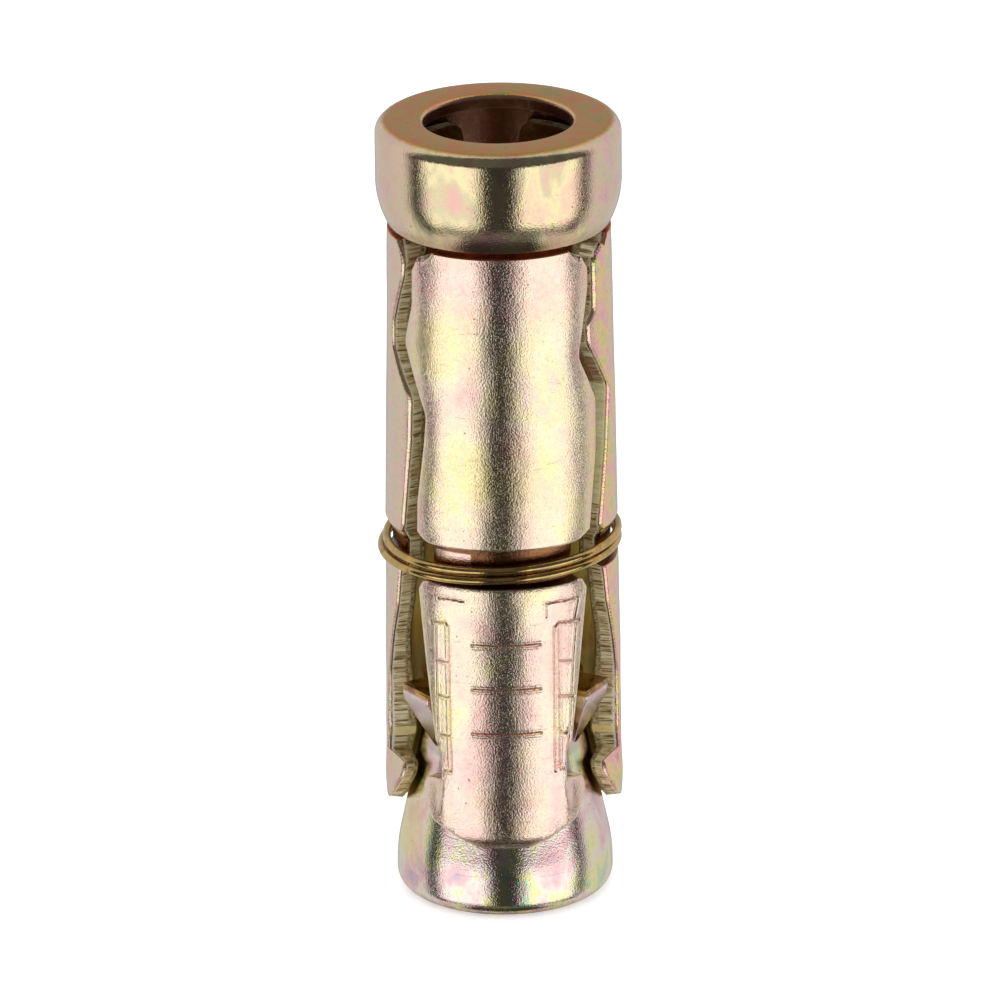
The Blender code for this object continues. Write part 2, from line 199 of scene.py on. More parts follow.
def mirroredLevel(g):
    # what the metal mirrors: two soft boxes in a dark frame in front, paler round the sides
    s = mirrorSettings
    way = g.node("ShaderNodeTexCoord", output=3)
    x, y, z = (g.split(way, axis) for axis in range(3))
    bearing = x.sum("ARCTAN2", x, -y).size() * (180 / pi)
    climb = z.sum("ARCSINE", z) * (180 / pi)
    right = x.ease(-0.05, 0.05)
    outers = s["boxOuter"], s["frameOuter"]
    boxOuter, frameOuter = (toLeft + right * (toRight - toLeft) for toLeft, toRight in outers)
    across = ((bearing * 2.0 - boxOuter - s["boxInner"]) / (boxOuter - s["boxInner"])).size()
    middle, half = s["boxClimb"]
    up = ((climb - middle) / half).size()
    square = across.sum("POWER", across, s["boxPower"]) + up.sum("POWER", up, s["boxPower"])
    box = square.ease(*s["boxEdge"], 1.0, 0.0)
    level = s["frame"] + box * (s["box"] - s["frame"])
    centre = x.size().ease(s["bandHalf"] - 0.03, s["bandHalf"] + 0.03, 1.0, 0.0)
    band = climb.ease(s["bandTop"] - 4, s["bandTop"] + 4, s["frame"], s["shelf"])
    under = s["under"] + centre * (band - s["under"])
    low = climb.ease(s["frameLow"] - 2, s["frameLow"] + 2, 1.0, 0.0)
    level = level + low * (under - level)
    high = climb.ease(s["frameHigh"] - 2, s["frameHigh"] + 6)
    level = level + high * (s["above"] - level)
    flank = bearing.ease(*s["flankSpan"], s["side"], s["flank"])
    back = bearing.ease(*s["backSpan"])
    around = flank + back * (s["back"] - flank)
    outside = bearing.ease(frameOuter - 1.5, frameOuter + 1.5)
    return level + outside * (around - level)


def makeWorld():
    world = bpy.data.worlds.new("studio")
    bpy.context.scene.world = world
    world.use_nodes = True
    g = Graph(world.node_tree)
    camera = g.node("ShaderNodeLightPath", output=0)
    glossy = g.node("ShaderNodeLightPath", output=3)
    light = stageSettings["light"]
    level = light + glossy * (mirroredLevel(g) - light)
    level = level + camera * (1.0 - level)
    shade = g.node("ShaderNodeBackground", None, {0: (1.0, 1.0, 1.0, 1.0), 1: level})
    g.node("ShaderNodeOutputWorld", None, {0: shade})


def makeFloor():
    bm = bmesh.new()
    bmesh.ops.create_grid(bm, x_segments=1, y_segments=1, size=1.5)
    data = bpy.data.meshes.new("floor")
    bm.to_mesh(data)
    bm.free()
    floor = bpy.data.objects.new("floor", data)
    bpy.context.scene.collection.objects.link(floor)
    floor.visible_glossy = False
    mat = bpy.data.materials.new("white paper")
    mat.use_nodes = True
    g = Graph(mat.node_tree)
    grey = stageSettings["paper"]
    paper = g.node("ShaderNodeBsdfDiffuse", None, {0: (grey, grey, grey, 1.0)})
    glow = g.node("ShaderNodeEmission", None, {0: (1.0, 1.0, 1.0, 1.0), 1: stageSettings["paperGlow"]})
    both = g.node("ShaderNodeAddShader", None, {0: paper, 1: glow})
    g.node("ShaderNodeOutputMaterial", None, {0: both})
    data.materials.append(mat)


makeCamera()
makeWorld()
makeFloor()
bpy.context.scene.view_settings.view_transform = "Standard"
print("stage set")

# Materials


def startMaterial(name):
    mat = bpy.data.materials.new(name)
    mat.use_nodes = True
    return mat, Graph(mat.node_tree)


def endMaterial(g, color, rough, bump, depth, metal=1.0):
    # the bump is as deep as given, in millimetres
    normal = g.node("ShaderNodeBump", None, {"Strength": 1.0, "Distance": depth * mm, "Height": bump})
    inputs = {"Base Color": color, "Roughness": rough, "Metallic": metal, "Normal": normal}
    shader = g.node("ShaderNodeBsdfPrincipled", None, inputs)
    g.node("ShaderNodeOutputMaterial", None, {0: shader})


def tinted(g, place, color, bands):
    # lays other tints over the heights from low to high, and from one x to another where given
    edge = g.noise(place, 3.0, 3.0, 0.7) - 0.5
    patches = g.noise(place, 0.8, 4.0, 0.7)
    for low, high, soft, tints, share, *across in bands:
        spans = [(2, low, high)]
        if across:
            spans.append((0, *across))
        mask = share
        for axis, start, end in spans:
            along = g.split(place, axis) + edge * (soft * 2.0)
            mask = along.ease(start - soft, start + soft) * mask
            mask = along.ease(end - soft, end + soft, 1.0, 0.0) * mask
        color = g.mix(mask, color, g.ramp(patches, tints))
    return color


filmSettings = {
    "stretch": (1000.0, 1000.0, 700.0),
    "tintShare": 0.5,
    "pitScale": 3.6,
    "pitEdge": (0.765, 0.79),
    "pitShare": 0.6,
    "pitColor": linear(120, 96, 66),
    "scratchStretch": (900.0, 900.0, 9000.0),
    "scratchEdge": (0.68, 0.72),
    "grainScale": 10.0,
}


def passivatedZinc(name, stops, patch=0.3, rough=(0.06, 0.1), grain=0.021, bands=()):
    # yellow passivated zinc: soft patches of film colour, fine grain, pits and scratches, with the given
    # bands laid over, some of them painted shade and painted highlights
    s = filmSettings
    mat, g = startMaterial(name)
    place = g.coords()
    film = g.noise(g.coords(s["stretch"]), patch, 3.0, 0.55, 0.4)
    color = g.ramp(film, stops)
    color = tinted(g, place, color, bands)
    tints = g.ramp(g.noise(place, 3.5, 4.0, 0.75), tintStops)
    color = g.mix(s["tintShare"], color, tints, "MULTIPLY")
    pit = g.noise(place, s["pitScale"], 1.0, 0.5).ease(*s["pitEdge"])
    color = g.mix(pit * s["pitShare"], color, s["pitColor"])
    scratch = g.noise(g.coords(s["scratchStretch"]), 0.5, 2.0, 0.5).ease(*s["scratchEdge"])
    gloss = rough[0] + g.noise(place, 1.2, 3.0, 0.6) * (rough[1] - rough[0]) + pit * 0.2
    fine = g.noise(place, s["grainScale"], 2.0, 0.6)
    height = fine - pit * 0.4 - scratch * 0.2
    endMaterial(g, color, gloss, height, grain)
    return mat


tintStops = [
    (0.32, linear(255, 222, 222)),
    (0.42, linear(255, 242, 236)),
    (0.50, linear(255, 253, 246)),
    (0.58, linear(248, 253, 240)),
    (0.68, linear(255, 232, 244)),
]
creamStops = [
    (0.32, linear(248, 204, 196)),
    (0.42, linear(251, 224, 208)),
    (0.52, linear(253, 236, 210)),
    (0.60, linear(253, 238, 192)),
    (0.68, linear(250, 228, 206)),
]
bronzeStops = [
    (0.32, linear(232, 178, 176)),
    (0.42, linear(238, 200, 180)),
    (0.52, linear(244, 226, 180)),
    (0.60, linear(216, 206, 168)),
    (0.70, linear(232, 182, 176)),
]
paleStops = [
    (0.32, linear(214, 194, 208)),
    (0.40, linear(248, 204, 208)),
    (0.50, linear(246, 234, 226)),
    (0.57, linear(248, 240, 180)),
    (0.63, linear(206, 232, 204)),
    (0.70, linear(250, 196, 202)),
]
goldStops = [
    (0.30, linear(150, 112, 70)),
    (0.45, linear(222, 184, 118)),
    (0.60, linear(190, 168, 108)),
    (0.72, linear(200, 158, 136)),
]
# olive film colour, made darker as painted shade on inner faces and in the thread
insideShadedStops = [
    (0.30, linear(120, 92, 44)),
    (0.45, linear(196, 170, 70)),
    (0.60, linear(168, 156, 52)),
    (0.75, linear(140, 106, 56)),
]
# pink-brown film, made darker as painted shade inside the cap
cavityShadedStops = [
    (0.35, linear(176, 122, 104)),
    (0.50, linear(206, 156, 136)),
    (0.65, linear(170, 126, 92)),
]
topTints = [
    (0.30, linear(236, 142, 86)),
    (0.46, linear(226, 156, 88)),
    (0.56, linear(214, 168, 88)),
    (0.70, linear(176, 166, 88)),
]
flankTints = [
    (0.32, linear(240, 194, 204)),
    (0.44, linear(242, 208, 196)),
    (0.54, linear(238, 214, 184)),
    (0.62, linear(222, 220, 188)),
    (0.70, linear(240, 196, 204)),
]
boreShadeTints = [(0.35, linear(92, 52, 38)), (0.6, linear(142, 80, 54))]
rightTints = [
    (0.34, linear(255, 190, 200)),
    (0.46, linear(255, 206, 190)),
    (0.55, linear(255, 224, 156)),
    (0.63, linear(214, 226, 152)),
    (0.72, linear(255, 196, 208)),
]
goldHighlightTints = [(0.35, linear(250, 214, 130)), (0.6, linear(255, 240, 180))]
lipShadeTints = [(0.3, linear(170, 120, 80)), (0.7, linear(200, 170, 120))]
yellowTints = [(0.3, linear(252, 226, 150)), (0.6, linear(255, 240, 160))]
pinkTints = [(0.35, linear(252, 206, 200)), (0.6, linear(252, 226, 214))]
grooveShadeTints = [(0.35, linear(112, 66, 38)), (0.6, linear(150, 100, 58))]
# painted light: the shaded ledge under the cap's lip made bright reddish brown
ledgePaintedLightTints = [(0.35, linear(190, 100, 66)), (0.6, linear(240, 160, 110))]
footTints = [(0.35, linear(190, 150, 124)), (0.6, linear(226, 200, 176))]
rimTints = [(0.40, linear(112, 74, 40)), (0.55, linear(214, 166, 92))]
lilacTints = [(0.35, linear(216, 186, 196)), (0.6, linear(206, 196, 184))]

# Bands as (low, high, soft edge, tints, share), then from and to along x unless they go all round
shellBands = [
    (36.5, 41.0, 1.4, pinkTints, 0.75),
    (34.0, 36.6, 2.2, yellowTints, 0.75, -3.8, -1.8),
    (25.0, 29.0, 2.5, yellowTints, 0.4, -3.8, 3.5),
    (5.0, 11.0, 2.0, pinkTints, 0.6),
    (4.0, 42.0, 0.5, rightTints, 0.95, 5.1, 9.0),
    (4.0, 42.0, 0.5, flankTints, 0.8, -9.0, -5.1),
    # groove floor: brown made darker as painted shade round the clip
    (20.5, 22.78, 0.03, grooveShadeTints, 0.95),
    # painted highlight: a gold band along the groove's upper edge on both sides
    (22.5, 22.82, 0.03, goldHighlightTints, 0.9, -9.0, -4.5),
    (22.5, 22.82, 0.03, goldHighlightTints, 0.9, 4.5, 9.0),
    # painted reflection: a pale pink patch on the groove floor at the left, where the left soft box mirrors
    (21.75, 22.4, 0.05, pinkTints, 0.95, -3.75, -1.8),
    (4.0, 5.2, 0.15, footTints, 0.8),
]
shellSkin = passivatedZinc("shell zinc", creamStops, bands=shellBands)
# inside bands: painted shade darkens the inside from 34 mm up, and painted light lifts the ledge under the
# cap's lip
insideBands = [(34.0, 46.0, 2.0, boreShadeTints, 0.9), (40.2, 40.6, 0.02, ledgePaintedLightTints, 1.0)]
shellInside = passivatedZinc("shell inside", insideShadedStops, rough=(0.3, 0.5), bands=insideBands)
capBands = [
    (39.0, 47.4, 0.4, flankTints, 0.9, 5.0, 9.0),
    (39.0, 47.4, 0.4, flankTints, 0.9, -9.0, -5.0),
    (46.52, 47.4, 0.06, topTints, 1.0),
    # painted shade: the curled lip made darker
    (39.5, 41.2, 0.4, lipShadeTints, 0.5),
]
capSkin = passivatedZinc("cap zinc", bronzeStops, 0.35, (0.05, 0.08), 0.012, capBands)
capInside = passivatedZinc("cap inside", cavityShadedStops, 0.3, (0.2, 0.3), 0.02)
nutBands = [
    (9.0, 12.7, 0.2, lilacTints, 0.7),
    (2.5, 6.4, 1.0, yellowTints, 0.7, -8.0, -4.9),
    (-0.5, 0.45, 0.3, rimTints, 0.8),
    # gold and brown over the nut's top and the lugs' top rims: film colour with a painted highlight on the
    # rims
    (12.9, 13.6, 0.1, rimTints, 0.9),
]
nutSkin = passivatedZinc("nut zinc", paleStops, 0.5, (0.06, 0.1), 0.013, nutBands)
nutInside = passivatedZinc("nut thread zinc", insideShadedStops, rough=(0.3, 0.5))
clipSkin = passivatedZinc("clip zinc", goldStops, 0.6, (0.06, 0.12), 0.006)

lineTints = [(0.38, linear(118, 92, 52)), (0.5, linear(226, 204, 146)), (0.6, linear(255, 250, 214))]
tornTints = [(0.36, linear(110, 84, 54)), (0.64, linear(224, 206, 152))]
rustTints = [(0.35, linear(120, 64, 40)), (0.6, linear(190, 120, 84))]
limeReflectionTints = [(0.35, linear(226, 222, 168)), (0.6, linear(250, 246, 208))]
cutBands = [
    (31.4, 33.2, 0.1, rustTints, 0.6, 2.5, 9.0),
    # painted reflection: pale lime on the right shell's cut faces, standing for the bright box they mirror
    (24.4, 31.3, 0.1, limeReflectionTints, 0.8, 2.5, 9.0),
    # painted highlight: a bright gold strip low on the cut faces, above the ears
    (9.3, 9.85, 0.05, goldHighlightTints, 0.9),
]
cutSettings = {
    "torn": (0.66, 0.76),  # share of the wall where the burnished part ends
    # share of the wall that takes the painted white highlight along the outer edge
    "edgeHighlight": (0.2, 0.26),
    "rough": 0.34,
    "tornRough": 0.1,
    "grain": 0.05,
    "metal": 0.55,
}


def shearedZinc(name):
    # cut face: burnished lines across the wall, then a rough torn third, and a painted white highlight along
    # the outer edge
    s = cutSettings
    mat, g = startMaterial(name)
    place = g.coords()
    depth = g.node("ShaderNodeAttribute", {"attribute_name": "depth"}, output=2)
    lines = g.noise(g.coords((500.0, 500.0, 7500.0)), 1.0, 3.0, 0.6)
    patches = g.noise(g.coords((300.0, 300.0, 500.0)), 1.0, 2.0, 0.5)
    rough = g.noise(place, 6.0, 4.0, 0.7)
    torn = (depth + (rough - 0.5) * 0.35).ease(*s["torn"])
    burnished = g.ramp(lines, lineTints)
    burnished = g.mix(patches.ease(0.5, 0.65) * 0.3, burnished, linear(190, 144, 100))
    color = g.mix(torn, burnished, g.ramp(rough, tornTints))
    color = tinted(g, place, color, cutBands)
    # painted highlight: near-white along the cut face's outer edge
    edgeHighlight = (depth + (rough - 0.5) * 0.5).ease(*s["edgeHighlight"], 1.0, 0.0)
    color = g.mix(edgeHighlight * 0.9, color, linear(255, 250, 236))
    height = lines + torn * (rough * 2.0 - lines)
    endMaterial(g, color, s["rough"] + torn * s["tornRough"], height, s["grain"], s["metal"])
    return mat


shearedEdge = shearedZinc("sheared edge")
print("materials made")

# Mesh tools


def outward(angle):
    return Vector((sin(radians(angle)), -cos(radians(angle)), 0.0))


def radiusAt(z, stops):
    # radius on straight lines between (height, radius) stops, highest first
    if z >= stops[0][0]:
        return stops[0][1]
    for (high, highRadius), (low, lowRadius) in zip(stops, stops[1:]):
        if z >= low:
            return lowRadius + (highRadius - lowRadius) * (z - low) / (high - low)
    return stops[-1][1]


def rounded(corners, steps):
    # closed outline of (x, y, round) corners with each round made an arc
    outline = []
    for i, (x, y, size) in enumerate(corners):
        corner = Vector((x, y))
        if not size:
            outline.append(corner)
            continue
        before = Vector(corners[i - 1][:2]) - corner
        after = Vector(corners[(i + 1) % len(corners)][:2]) - corner
        half = before.angle(after) / 2
        reach = min(size / tan(half), before.length * 0.45, after.length * 0.45)
        middle = (before.normalized() + after.normalized()).normalized()
        centre = corner + middle * reach / cos(half)
        start = corner + before.normalized() * reach - centre
        end = corner + after.normalized() * reach - centre
        for step in range(steps + 1):
            outline.append(centre + start.lerp(end, step / steps).normalized() * start.length)
    return outline


def finishPiece(name, bm, mats, body, node):
    # turns a mesh in millimetres into a piece that stands for its CAD node
    bmesh.ops.remove_doubles(bm, verts=bm.verts, dist=weld)
    bmesh.ops.recalc_face_normals(bm, faces=bm.faces)
    bmesh.ops.scale(bm, vec=(mm, mm, mm), verts=bm.verts)
    data = bpy.data.meshes.new(name)
    bm.to_mesh(data)
    bm.free()
    for mat in mats:
        data.materials.append(mat)
    data.shade_smooth()
    data.set_sharp_from_angle(angle=radians(sharpAngle))
    piece = bpy.data.objects.new(name, data)
    bpy.context.scene.collection.objects.link(piece)
    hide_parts(node)
    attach(piece, body)


def spun(corners, steps, cornerSteps):
    # a ring turned from a closed outline of (radius, height, round) corners
    bm = bmesh.new()
    verts = [bm.verts.new((point.x, 0.0, point.y)) for point in rounded(corners, cornerSteps)]
    edges = [bm.edges.new((verts[i - 1], verts[i])) for i in range(len(verts))]
    bmesh.ops.spin(
        bm, geom=verts + edges, cent=(0, 0, 0), axis=(0, 0, 1), angle=2 * pi, steps=steps, use_merge=True
    )
    return bm


# Cap: plate with the bolt hole, side wall curled in under the shells' heads

capSettings = {
    "height": 46.6,
    "radius": 7.0,
    "hole": 4.22,
    "holeRound": 0.3,
    "topRound": 0.75,
    "wall": 1.0,
    "plate": 0.85,
    "lipHeight": 40.6,
    "lipInset": 0.7,
    "lipInner": 5.54,
    "lipRound": 0.22,
    "cavityRound": 0.25,
    "innerRound": 0.1,
    "curl": 2.6,
    "curlSteps": 16,
    "cornerSteps": 7,
    "steps": 180,
}


def makeCap():
    s = capSettings
    arc = (s["curl"] ** 2 + s["lipInset"] ** 2) / (2 * s["lipInset"])
    cavity = s["radius"] - s["wall"]
    outside, inside = [], []
    for step in range(s["curlSteps"]):
        fall = s["curl"] * step / s["curlSteps"]
        share = (arc - (arc**2 - fall**2) ** 0.5) / s["lipInset"]
        z = s["lipHeight"] + s["curl"] - fall
        outside.append((s["radius"] - s["lipInset"] * share, z, 0.0))
        inside.insert(0, (cavity - (cavity - s["lipInner"]) * share, z, 0.0))
    corners = [
        (s["hole"], s["height"], s["holeRound"]),
        (s["radius"], s["height"], s["topRound"]),
        *outside,
        (s["radius"] - s["lipInset"], s["lipHeight"], s["lipRound"]),
        (s["lipInner"], s["lipHeight"], s["innerRound"]),
        *inside,
        (cavity, s["height"] - s["plate"], s["cavityRound"]),
        (s["hole"], s["height"] - s["plate"], s["innerRound"]),
    ]
    bm = spun(corners, s["steps"], s["cornerSteps"])
    for face in bm.faces:
        middle = face.calc_center_median()
        hidden = middle.xy.length < cavity + 0.02 and middle.z < s["height"] - s["plate"] + 0.02
        bored = middle.xy.length < s["hole"] + 0.1 and middle.z < s["height"] - 0.15
        face.material_index = 1 if hidden or bored else 0
    finishPiece("cap", bm, [capSkin, capInside], "cap", "ferrule")


makeCap()
print("cap made")

# Wedge nut: a threaded cone with three lugs. It comes first because the shells follow its cone

nutSettings = {
    "height": 13.2,
    "radius": 6.24,
    "neck": 4.6,
    "coneStart": 2.4,
    "slope": 12.0,
    "boreRound": 0.12,
    "neckRound": 0.15,
    "neckBend": 1.2,
    "coneBend": 9.6,
    "footRound": 1.3,
    "cornerSteps": 10,
    "steps": 180,
    "thread": 4.0,
    "pitch": 1.25,
    "crest": 3.323,
    "crestHalf": 0.08,
    "rootShare": 0.44,  # half the ridge's foot, as a share of the pitch
    "bite": 0.05,  # how far the ridge stands in the bore's wall
    "threadStart": 0.75,
    "threadSteps": 60,
    "lugAngles": (-55.5, 61.0, 182.0),
    "lugWidth": 2.6,
    "lugReach": 6.18,
    "lugFoot": 9.4,
    "lugTaper": 12.2,
    "lugRise": 0.05,
    "lugTip": 0.6,
    "lugSeat": 4.75,
    "lugRoot": 3.9,
    "lugPoint": 0.12,
    "lugBevel": 0.13,
}


def nutLug(angle):
    # a fin whose outer face slopes in to the cone and narrows to a point
    s = nutSettings
    top = s["height"] + s["lugRise"]
    bm = bmesh.new()
    slope = (s["lugReach"] - s["lugSeat"]) / (top - s["lugTip"] - s["lugFoot"])
    waist = s["lugSeat"] + slope * (s["lugTaper"] - s["lugFoot"])
    outline = [
        (s["lugRoot"], top),
        (s["lugReach"], top),
        (s["lugReach"], top - s["lugTip"]),
        (waist, s["lugTaper"]),
        (s["lugSeat"], s["lugFoot"]),
        (s["lugRoot"], s["lugFoot"] - s["lugTip"]),
        (s["lugRoot"], s["lugTaper"]),
    ]
    face = bm.faces.new([bm.verts.new((0.0, -r, z)) for r, z in outline])
    made = bmesh.ops.extrude_face_region(bm, geom=[face])["geom"]
    far = {v for v in made if isinstance(v, bmesh.types.BMVert)}
    for vert in bm.verts:
        share = min(1.0, (vert.co.z - s["lugFoot"]) / (s["lugTaper"] - s["lugFoot"]))
        half = max(s["lugPoint"], s["lugWidth"] / 2 * share)
        vert.co.x = half if vert in far else -half
    outer = [e for e in bm.edges if all(-v.co.y > s["lugSeat"] - 0.05 for v in e.verts)]
    bmesh.ops.bevel(
        bm, geom=outer, offset=s["lugBevel"], segments=3, profile=0.5, affect="EDGES", material=-1
    )
    bmesh.ops.recalc_face_normals(bm, faces=bm.faces)
    bmesh.ops.rotate(bm, verts=bm.verts, cent=(0, 0, 0), matrix=Matrix.Rotation(radians(angle), 3, "Z"))
    return bm


def nutThread():
    # one ridge of the thread, wound up through the bore
    s = nutSettings
    root, rootHalf = s["thread"] + s["bite"], s["pitch"] * s["rootShare"]
    crest, crestHalf = s["crest"], s["crestHalf"]
    section = [(root, -rootHalf), (crest, -crestHalf), (crest, crestHalf), (root, rootHalf)]
    start, steps = s["threadStart"], s["threadSteps"]
    bm = bmesh.new()
    verts = [bm.verts.new((r, 0.0, start + z)) for r, z in section]
    face = bm.faces.new(verts)
    turns = (s["height"] - 2 * start) / s["pitch"]
    bmesh.ops.spin(
        bm, geom=[face], cent=(0, 0, 0), axis=(0, 0, 1), dvec=(0, 0, s["pitch"] / steps),
        angle=2 * pi * turns, steps=round(steps * turns)
    )
    bmesh.ops.recalc_face_normals(bm, faces=bm.faces)
    return bm


def addTo(bm, other, index):
    # joins another mesh to this one, with its faces given a material
    for face in other.faces:
        face.material_index = index
    data = bpy.data.meshes.new("part")
    other.to_mesh(data)
    other.free()
    bm.from_mesh(data)
    bpy.data.meshes.remove(data)


def makeNut():
    s = nutSettings
    neckHeight = s["coneStart"] + (s["radius"] - s["neck"]) / tan(radians(s["slope"]))
    corners = [
        (s["thread"], s["height"], s["boreRound"]),
        (s["neck"], s["height"], s["neckRound"]),
        (s["neck"], neckHeight, s["neckBend"]),
        (s["radius"], s["coneStart"], s["coneBend"]),
        (s["radius"], 0.0, s["footRound"]),
        (s["thread"], 0.0, s["boreRound"]),
    ]
    bm = spun(corners, s["steps"], s["cornerSteps"])
    bmesh.ops.remove_doubles(bm, verts=bm.verts, dist=weld)
    for face in bm.faces:
        face.material_index = 1 if all(v.co.xy.length < s["thread"] + 0.02 for v in face.verts) else 0
    addTo(bm, nutThread(), 1)
    for angle in s["lugAngles"]:
        addTo(bm, nutLug(angle), 0)
    finishPiece("nut", bm, [nutSkin, nutInside], "nut", "wedge_nut")


# Shells: three pressed segments round the bolt

shellSettings = {
    "angles": {"segment_front": 0.0, "segment_left": -116.0, "segment_right": 116.0},
    "bodies": {"segment_front": "front_shell", "segment_left": "left_shell", "segment_right": "right_shell"},
    "shoulder": 40.3,
    "foot": 4.55,
    "form": [(40.3, 6.37), (33.9, 6.39), (23.0, 6.67), (17.1, 6.71), (9.9, 6.95), (4.55, 6.9)],
    "footChamfer": 0.5,
    "wall": 1.25,
    "headTop": 44.8,
    "headBase": 42.1,
    "headRadius": 5.7,
    "headWall": 0.9,
    "headRound": 0.9,
    "neckInner": 4.34,
    "neckTurn": 2.0,  # degrees that the neck flares by
    "neckBend": 0.7,
    "neckDrop": 0.3,
    "shoulderBend": 1.6,
    "grooveTop": 22.85,
    "grooveFoot": 20.55,
    "grooveShear": 0.4,
    "bulge": 0.45,  # how far the groove stands out inside
    "waistDrop": 0.7,
    "padTop": 16.0,
    "padKnee": 9.6,
    "padPlay": 0.3,
    "edgeRound": 0.2,
    "edgeSteps": 3,
    "wallRows": (0.45, 0.7, 0.95, 1.18),
    "skin": 0.02,  # nothing deeper than this is skin
    "coarseAngle": 5.0,  # steps of the cuts through the wall
    "fineAngle": 1.2,  # steps of the cuts in the skin
    "fineRow": 0.4,
    "earBend": 0.42,
    "earCurl": 0.55,
    "earFold": 0.9,
    "earLow": 5.85,
    "earHigh": 8.2,
    "earRoot": 31.0,
    "earBent": 37.0,
    "earTip": 48.0,
    "rollover": 0.1,
    "rolloverReach": 1.6,
    "flatRadius": 6.6,
    "seedStep": 7.3,
}

# Edges as (half angle, share of the height between two marks, rounding in walls)
shoulderEdge = [(45.5, 0.043, 0.24), (47.0, 0.023, 0.24)]
earEdge = [
    (48.0, 0.225, 0.32),
    (48.5, 0.185, 0.64),
    (38.5, 0.0875, 0.72),
    (25.0, 0.0406, 1.2),
    (12.0, 0.0, 1.2),
]
frontEdges = {
    "right": [
        (53.0, 0.075, 0.48),
        (53.0, 0.14, 1.2),
        (49.9, 0.23, 1.2),
        (44.6, 0.372, 0.8),
        (57.6, 0.535, 0.64),
        (57.0, 0.7, 1.2),
    ],
    "left": [
        (52.8, 0.08, 0.48),
        (52.8, 0.2, 1.2),
        (59.0, 0.335, 0.8),
        (42.0, 0.565, 0.8),
        (43.5, 0.665, 1.2),
        (48.2, 0.875, 1.2),
    ],
    "ends": (50.5, 48.2),
    "necks": (39.0, 37.5),
    "waist": 47.5,
    "groove": 41.5,
    "flank": 0.12,
    "deep": 0.58,
    "lower": [(36.5, 0.397, 0.24), (33.0, 0.356, 0.24), (33.0, 0.24, 0.16), *earEdge],
}
sideEdges = {
    "right": [
        (56.0, 0.075, 0.48),
        (55.5, 0.12, 0.8),
        (42.0, 0.3, 1.2),
        (42.5, 0.385, 0.8),
        (63.0, 0.52, 0.64),
        (62.3, 0.684, 1.2),
    ],
    "left": [
        (58.3, 0.06, 0.48),
        (58.3, 0.235, 0.64),
        (64.5, 0.27, 0.48),
        (64.5, 0.34, 1.2),
        (43.0, 0.525, 0.8),
        (48.2, 0.72, 1.2),
    ],
    "ends": (56.5, 57.0),
    "necks": (51.0, 41.0),
    "waist": 52.0,
    "groove": 54.0,
    "flank": 0.65,
    "deep": 0.42,
    "lower": [
        (49.5, 0.853, 1.2),
        (34.0, 0.55, 1.2),
        (33.2, 0.33, 0.2),
        (31.3, 0.294, 0.0),
        (29.5, 0.288, 0.0),
        (29.5, 0.24, 0.08),
        *earEdge,
    ],
}


def shellWall(z):
    return radiusAt(z, shellSettings["form"])


def coneRadius(z):
    n = nutSettings
    return max(n["radius"] - (z - n["coneStart"]) * tan(radians(n["slope"])), n["neck"])


def edgeBetween(start, end, edge):
    wall = shellSettings["wall"]
    return [(angle, start + share * (end - start), walls * wall) for angle, share, walls in edge]


def shellHalf(edges, side):
    s = shellSettings
    which = 0 if side == "right" else 1
    neck, edgeEnd = edges["necks"][which], edges["ends"][which]
    head = [
        (neck - s["neckTurn"], s["headTop"], s["headRound"]),
        (neck, s["headBase"], 0.0),
        (neck, s["shoulder"], 0.0),
        (neck + s["neckTurn"], s["shoulder"] - s["neckDrop"], 0.1),
    ]
    groove = [
        (edgeEnd, s["grooveTop"] + s["grooveShear"], 0.3),
        (edges["groove"], s["grooveTop"] - 0.1, 0.1),
        (edges["groove"], s["grooveFoot"], 0.1),
        ((edges["groove"] + edges["waist"]) / 2, s["grooveFoot"] - 0.15, 0.1),
        (edges["waist"], s["grooveFoot"] - s["waistDrop"], 0.3),
    ]
    shoulder = [corner for corner in shoulderEdge if corner[0] > neck + 4.0]
    upper = edgeBetween(s["shoulder"], s["grooveTop"], shoulder + edges[side])
    lower = edgeBetween(s["foot"], s["grooveFoot"], edges["lower"])
    return head + upper + groove + lower


def shellPattern(edges):
    right = shellHalf(edges, "right")
    left = [(-angle, z, size) for angle, z, size in reversed(shellHalf(edges, "left"))]
    return right + left


def shellOutside(edges):
    # outer profile; the flank is the height that the groove's upper side takes
    s = shellSettings
    top, foot, deep = s["grooveTop"], s["grooveFoot"], edges["deep"]
    neck = s["neckInner"] + s["headWall"]
    return [
        (s["headTop"], s["headRadius"]),
        (s["headBase"], s["headRadius"]),
        (s["headBase"] - s["neckBend"], neck),
        (s["shoulder"] + 0.04, neck),
        (s["shoulder"], shellWall(s["shoulder"]) - 0.04),
        (s["shoulder"] - 0.05, shellWall(s["shoulder"])),
        (top + 0.1, shellWall(top)),
        (top, shellWall(top) - 0.05),
        (top - edges["flank"], shellWall(top) - deep),
        (foot + 0.12, shellWall(foot) - deep),
        (foot, shellWall(foot) - 0.05),
        (foot - 0.1, shellWall(foot)),
        (s["foot"] + s["footChamfer"], shellWall(s["foot"]) - 0.03),
        (s["foot"], shellWall(s["foot"]) - s["footChamfer"] / 2),
    ]


def shellInner():
    s = shellSettings
    top, foot, bulge = s["grooveTop"], s["grooveFoot"], s["bulge"]
    floor = shellWall((top + foot) / 2) - s["wall"] - bulge

    def wall(z):
        return z, shellWall(z) - s["wall"]

    return [
        (s["headTop"], s["headRadius"] - s["headWall"]),
        (s["headBase"], s["headRadius"] - s["headWall"]),
        (s["headBase"] - s["neckBend"], s["neckInner"]),
        (s["shoulder"] - s["neckDrop"], s["neckInner"]),
        wall(s["shoulder"] - s["shoulderBend"]),
        wall(top + bulge),
        (top - bulge, floor),
        (foot + bulge, floor),
        wall(foot - bulge),
        wall(s["padTop"]),
        (s["padKnee"], coneRadius(s["padKnee"]) + s["padPlay"]),
        (s["foot"], coneRadius(s["foot"]) + s["padPlay"]),
    ]


